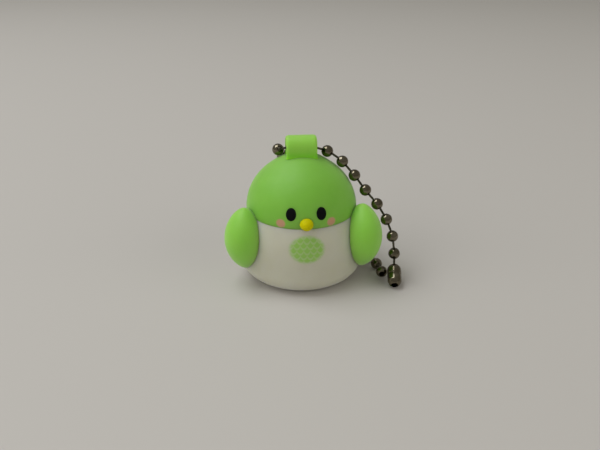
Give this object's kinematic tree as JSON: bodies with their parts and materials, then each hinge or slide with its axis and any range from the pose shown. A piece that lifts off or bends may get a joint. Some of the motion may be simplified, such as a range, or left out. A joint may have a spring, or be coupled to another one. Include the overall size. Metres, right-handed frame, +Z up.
{
  "type": "bird charm on a ball chain",
  "caption": "Small soft-moulded bird charm with wings, beak and a strap loop on its crown, draped with a jointed metal ball chain and barrel connector.",
  "frame": {"origin": "centre of the flat foot under the belly, on the table", "axes": "+Z up, the bird faces -Y, +X is to the right as seen from the front"},
  "size_m": [0.0358, 0.0261, 0.0291],
  "materials": {
    "white_rubber": "soft satin",
    "green_rubber": "soft satin",
    "yellow_rubber": "soft satin",
    "black_rubber": "semi-gloss",
    "bead_steel": "gunmetal plate",
    "link_steel": "gunmetal plate",
    "connector_steel": "gunmetal plate"
  },
  "bodies": {
    "bird": {"belly": "white_rubber", "head": "green_rubber", "strap_loop": "green_rubber", "wing_left": "green_rubber", "wing_right": "green_rubber", "beak": "yellow_rubber", "eye_left": "black_rubber", "eye_right": "black_rubber"},
    "link_in_loop": {"link_in_loop": "link_steel"},
    "bead_right_01": {"bead_right_01": "bead_steel"},
    "link_right_01": {"link_right_01": "link_steel"},
    "bead_right_02": {"bead_right_02": "bead_steel"},
    "link_right_02": {"link_right_02": "link_steel"},
    "bead_right_03": {"bead_right_03": "bead_steel"},
    "link_right_03": {"link_right_03": "link_steel"},
    "bead_right_04": {"bead_right_04": "bead_steel"},
    "link_right_04": {"link_right_04": "link_steel"},
    "bead_right_05": {"bead_right_05": "bead_steel"},
    "link_right_05": {"link_right_05": "link_steel"},
    "bead_right_06": {"bead_right_06": "bead_steel"},
    "link_right_06": {"link_right_06": "link_steel"},
    "bead_right_07": {"bead_right_07": "bead_steel"},
    "link_right_07": {"link_right_07": "link_steel"},
    "bead_right_08": {"bead_right_08": "bead_steel"},
    "link_right_08": {"link_right_08": "link_steel"},
    "bead_right_09": {"bead_right_09": "bead_steel"},
    "link_right_09": {"link_right_09": "link_steel"},
    "connector": {"connector": "connector_steel", "bead_right_10": "bead_steel"},
    "bead_left_01": {"bead_left_01": "bead_steel"},
    "link_left_01": {"link_left_01": "link_steel"},
    "bead_left_02": {"bead_left_02": "bead_steel"},
    "link_left_02": {"link_left_02": "link_steel"},
    "bead_left_03": {"bead_left_03": "bead_steel"},
    "link_left_03": {"link_left_03": "link_steel"},
    "bead_left_04": {"bead_left_04": "bead_steel"},
    "link_left_04": {"link_left_04": "link_steel"},
    "bead_left_05": {"bead_left_05": "bead_steel"},
    "link_left_05": {"link_left_05": "link_steel"},
    "bead_left_06": {"bead_left_06": "bead_steel"},
    "link_left_06": {"link_left_06": "link_steel"},
    "bead_left_07": {"bead_left_07": "bead_steel"},
    "link_left_07": {"link_left_07": "link_steel"},
    "bead_left_08": {"bead_left_08": "bead_steel"},
    "link_left_08": {"link_left_08": "link_steel"},
    "bead_left_09": {"bead_left_09": "bead_steel"},
    "link_left_09": {"link_left_09": "link_steel"},
    "bead_left_10": {"bead_left_10": "bead_steel"},
    "link_left_10": {"link_left_10": "link_steel"},
    "bead_left_11": {"bead_left_11": "bead_steel"},
    "link_left_11": {"link_left_11": "link_steel"},
    "bead_left_12": {"bead_left_12": "bead_steel"},
    "link_left_12": {"link_left_12": "link_steel"},
    "bead_left_13": {"bead_left_13": "bead_steel"},
    "link_left_13": {"link_left_13": "link_steel"},
    "bead_left_14": {"bead_left_14": "bead_steel"},
    "link_left_14": {"link_left_14": "link_steel"},
    "bead_left_15": {"bead_left_15": "bead_steel"}
  },
  "joints": [
    {"name": "chain_swivel", "type": "hinge", "parent": "bird", "child": "link_in_loop", "pos_m": [0, 0.0007, 0.0267], "axis": [0, 0, 1], "range_deg": [-1, 4]},
    {"name": "bead_right_01_tilt", "type": "hinge", "parent": "link_in_loop", "child": "bead_right_01", "pos_m": [0.00123, 0.0007, 0.0267], "axis": [0.0569, 0.0543, 0.9969], "range_deg": [0, 4.5]},
    {"name": "link_right_01_tilt", "type": "hinge", "parent": "bead_right_01", "child": "link_right_01", "pos_m": [0.0025, 0.00079, 0.02655], "axis": [0.1479, -0.9884, 0.0329], "range_deg": [0, 20]},
    {"name": "bead_right_02_tilt", "type": "hinge", "parent": "link_right_01", "child": "bead_right_02", "pos_m": [0.00476, 0.00129, 0.02568], "axis": [0.3789, -0.4073, 0.831], "range_deg": [0, 15]},
    {"name": "link_right_02_tilt", "type": "hinge", "parent": "bead_right_02", "child": "link_right_02", "pos_m": [0.00593, 0.00124, 0.02517], "axis": [-0.1768, -0.9627, 0.2047], "range_deg": [0, 20]},
    {"name": "bead_right_03_tilt", "type": "hinge", "parent": "link_right_02", "child": "bead_right_03", "pos_m": [0.00782, 0.00012, 0.02404], "axis": [0.4043, -0.4603, 0.7903], "range_deg": [0, 15]},
    {"name": "link_right_03_tilt", "type": "hinge", "parent": "bead_right_03", "child": "link_right_03", "pos_m": [0.00869, -0.0002, 0.02315], "axis": [-0.1792, -0.972, 0.1517], "range_deg": [0, 20]},
    {"name": "bead_right_04_tilt", "type": "hinge", "parent": "link_right_03", "child": "bead_right_04", "pos_m": [0.01028, -0.00074, 0.02134], "axis": [0.5676, -0.5175, 0.6403], "range_deg": [0, 15]},
    {"name": "link_right_04_tilt", "type": "hinge", "parent": "bead_right_04", "child": "link_right_04", "pos_m": [0.01108, -0.00102, 0.02039], "axis": [-0.184, -0.9681, 0.1699], "range_deg": [0, 20]},
    {"name": "bead_right_05_tilt", "type": "hinge", "parent": "link_right_04", "child": "bead_right_05", "pos_m": [0.01248, -0.0017, 0.01847], "axis": [0.5858, -0.5152, 0.6256], "range_deg": [0, 15]},
    {"name": "link_right_05_tilt", "type": "hinge", "parent": "bead_right_05", "child": "link_right_05", "pos_m": [0.01324, -0.00204, 0.0175], "axis": [-0.1916, -0.9663, 0.1719], "range_deg": [0, 20]},
    {"name": "bead_right_06_tilt", "type": "hinge", "parent": "link_right_05", "child": "bead_right_06", "pos_m": [0.01485, -0.00264, 0.01572], "axis": [-0.7673, 0.0327, -0.6405], "range_deg": [0, 15]},
    {"name": "link_right_06_tilt", "type": "hinge", "parent": "bead_right_06", "child": "link_right_06", "pos_m": [0.01558, -0.00299, 0.01473], "axis": [-0.191, -0.9587, 0.2109], "range_deg": [0, 20]},
    {"name": "bead_right_07_tilt", "type": "hinge", "parent": "link_right_06", "child": "bead_right_07", "pos_m": [0.01683, -0.00371, 0.01273], "axis": [0.6413, -0.5439, 0.5412], "range_deg": [-7, 15]},
    {"name": "link_right_07_tilt", "type": "hinge", "parent": "bead_right_07", "child": "link_right_07", "pos_m": [0.01737, -0.00407, 0.01162], "axis": [-0.2232, -0.9511, 0.2135], "range_deg": [0, 20]},
    {"name": "bead_right_08_tilt", "type": "hinge", "parent": "link_right_07", "child": "bead_right_08", "pos_m": [0.01819, -0.00478, 0.0094], "axis": [-0.9271, 0.1737, -0.332], "range_deg": [-7.5, 15]},
    {"name": "link_right_08_tilt", "type": "hinge", "parent": "bead_right_08", "child": "link_right_08", "pos_m": [0.01848, -0.00509, 0.0082], "axis": [-0.2624, -0.9517, 0.1596], "range_deg": [-0.5, 20]},
    {"name": "bead_right_09_tilt", "type": "hinge", "parent": "link_right_08", "child": "bead_right_09", "pos_m": [0.01876, -0.00551, 0.00578], "axis": [0.9585, -0.2533, 0.1312], "range_deg": [-7.5, 10.5]},
    {"name": "link_right_09_tilt", "type": "hinge", "parent": "bead_right_09", "child": "link_right_09", "pos_m": [0.0188, -0.00588, 0.00455], "axis": [-0.261, -0.8354, 0.4838], "range_deg": [-2.5, 16.5]},
    {"name": "connector_tilt", "type": "hinge", "parent": "link_right_09", "child": "connector", "pos_m": [0.01853, -0.00752, 0.00273], "axis": [0.2952, -0.5802, 0.7591], "range_deg": [-7, 15]},
    {"name": "bead_left_01_tilt", "type": "hinge", "parent": "link_in_loop", "child": "bead_left_01", "pos_m": [-0.00123, 0.0007, 0.0267], "axis": [-0.0545, 0.0503, 0.9972], "range_deg": [0, 15]},
    {"name": "link_left_01_tilt", "type": "hinge", "parent": "bead_left_01", "child": "link_left_01", "pos_m": [-0.00247, 0.00101, 0.02655], "axis": [-0.224, 0.0939, 0.9701], "range_deg": [0, 8.5]},
    {"name": "bead_left_02_tilt", "type": "hinge", "parent": "link_left_01", "child": "bead_left_02", "pos_m": [-0.00425, 0.00248, 0.02568], "axis": [-0.3433, 0.2029, 0.9171], "range_deg": [0, 6]},
    {"name": "link_left_02_tilt", "type": "hinge", "parent": "bead_left_02", "child": "link_left_02", "pos_m": [-0.00468, 0.00359, 0.02521], "axis": [0.9206, 0.2282, 0.3169], "range_deg": [0, 20]},
    {"name": "bead_left_03_tilt", "type": "hinge", "parent": "link_left_02", "child": "bead_left_03", "pos_m": [-0.00436, 0.0059, 0.0244], "axis": [0.7665, -0.3851, -0.5141], "range_deg": [0, 15]},
    {"name": "link_left_03_tilt", "type": "hinge", "parent": "bead_left_03", "child": "link_left_03", "pos_m": [-0.00396, 0.00702, 0.02392], "axis": [0.9079, -0.0618, 0.4146], "range_deg": [0, 20]},
    {"name": "bead_left_04_tilt", "type": "hinge", "parent": "link_left_03", "child": "bead_left_04", "pos_m": [-0.00337, 0.00893, 0.02247], "axis": [0.7102, -0.5588, -0.4283], "range_deg": [0, 15]},
    {"name": "link_left_04_tilt", "type": "hinge", "parent": "bead_left_04", "child": "link_left_04", "pos_m": [-0.0032, 0.00982, 0.02157], "axis": [0.8961, -0.0396, 0.442], "range_deg": [0, 20]},
    {"name": "bead_left_05_tilt", "type": "hinge", "parent": "link_left_04", "child": "bead_left_05", "pos_m": [-0.0018, 0.01122, 0.02009], "axis": [0.4684, 0.1925, 0.8623], "range_deg": [0, 15]},
    {"name": "link_left_05_tilt", "type": "hinge", "parent": "bead_left_05", "child": "link_left_05", "pos_m": [-0.00068, 0.01159, 0.0196], "axis": [0.4666, -0.3511, 0.8118], "range_deg": [0, 20]},
    {"name": "bead_left_06_tilt", "type": "hinge", "parent": "link_left_05", "child": "bead_left_06", "pos_m": [0.0015, 0.012, 0.01852], "axis": [0.4286, 0.161, 0.889], "range_deg": [0, 15]},
    {"name": "link_left_06_tilt", "type": "hinge", "parent": "bead_left_06", "child": "link_left_06", "pos_m": [0.00265, 0.01201, 0.01794], "axis": [0.4012, -0.3521, 0.8456], "range_deg": [0, 20]},
    {"name": "bead_left_07_tilt", "type": "hinge", "parent": "link_left_06", "child": "bead_left_07", "pos_m": [0.00482, 0.01165, 0.01683], "axis": [0.4894, 0.1561, 0.858], "range_deg": [0, 15]},
    {"name": "link_left_07_tilt", "type": "hinge", "parent": "bead_left_07", "child": "link_left_07", "pos_m": [0.0059, 0.01127, 0.01625], "axis": [0.3103, -0.3253, 0.8933], "range_deg": [0, 20]},
    {"name": "bead_left_08_tilt", "type": "hinge", "parent": "link_left_07", "child": "bead_left_08", "pos_m": [0.00783, 0.01008, 0.01528], "axis": [0.403, -0.401, 0.8226], "range_deg": [0, 15]},
    {"name": "link_left_08_tilt", "type": "hinge", "parent": "bead_left_08", "child": "link_left_08", "pos_m": [0.00867, 0.00969, 0.01439], "axis": [0.6338, -0.5773, 0.5148], "range_deg": [0, 10.5]},
    {"name": "bead_left_09_tilt", "type": "hinge", "parent": "link_left_08", "child": "bead_left_09", "pos_m": [0.00965, 0.00974, 0.01212], "axis": [0.617, 0.7526, 0.2298], "range_deg": [0, 12]},
    {"name": "link_left_09_tilt", "type": "hinge", "parent": "bead_left_09", "child": "link_left_09", "pos_m": [0.01023, 0.00953, 0.01101], "axis": [0.5647, -0.6066, 0.5596], "range_deg": [0, 20]},
    {"name": "bead_left_10_tilt", "type": "hinge", "parent": "link_left_09", "child": "bead_left_10", "pos_m": [0.01153, 0.00852, 0.00916], "axis": [0.8728, 0.2644, 0.4102], "range_deg": [0, 15]},
    {"name": "link_left_10_tilt", "type": "hinge", "parent": "bead_left_10", "child": "link_left_10", "pos_m": [0.0121, 0.00789, 0.00821], "axis": [0.9169, 0.1777, 0.3575], "range_deg": [0, 20]},
    {"name": "bead_left_11_tilt", "type": "hinge", "parent": "link_left_10", "child": "bead_left_11", "pos_m": [0.01295, 0.00651, 0.00634], "axis": [0.8871, 0.4613, 0.0158], "range_deg": [0, 15]},
    {"name": "link_left_11_tilt", "type": "hinge", "parent": "bead_left_11", "child": "link_left_11", "pos_m": [0.01331, 0.00576, 0.00536], "axis": [0.9501, -0.0149, 0.3115], "range_deg": [-1.5, 20]},
    {"name": "bead_left_12_tilt", "type": "hinge", "parent": "link_left_11", "child": "bead_left_12", "pos_m": [0.01382, 0.00431, 0.00344], "axis": [0.9311, -0.0774, 0.3564], "range_deg": [-3, 15]},
    {"name": "link_left_12_tilt", "type": "hinge", "parent": "bead_left_12", "child": "link_left_12", "pos_m": [0.01412, 0.00339, 0.00259], "axis": [0.9568, 0.2882, 0.0391], "range_deg": [-3, 20]},
    {"name": "bead_left_13_tilt", "type": "hinge", "parent": "link_left_12", "child": "bead_left_13", "pos_m": [0.01481, 0.00132, 0.00144], "axis": [0.9609, 0.2678, 0.0699], "range_deg": [-6, 15]},
    {"name": "link_left_13_tilt", "type": "hinge", "parent": "bead_left_13", "child": "link_left_13", "pos_m": [0.01515, 0.00012, 0.00114], "axis": [0.9679, 0.2502, 0.0228], "range_deg": [-3, 20]},
    {"name": "bead_left_14_tilt", "type": "hinge", "parent": "link_left_13", "child": "bead_left_14", "pos_m": [0.01572, -0.00228, 0.00127], "axis": [-0.9781, -0.2068, 0.0233], "range_deg": [-6, 15]},
    {"name": "link_left_14_tilt", "type": "hinge", "parent": "bead_left_14", "child": "link_left_14", "pos_m": [0.01596, -0.00353, 0.00136], "axis": [0.9878, 0.1536, -0.0242], "range_deg": [-5, 20]},
    {"name": "bead_left_15_tilt", "type": "hinge", "parent": "link_left_14", "child": "bead_left_15", "pos_m": [0.01627, -0.00598, 0.00149], "axis": [0.9999, -0.0101, -0.0124], "range_deg": [-9.5, 15]}
  ]
}
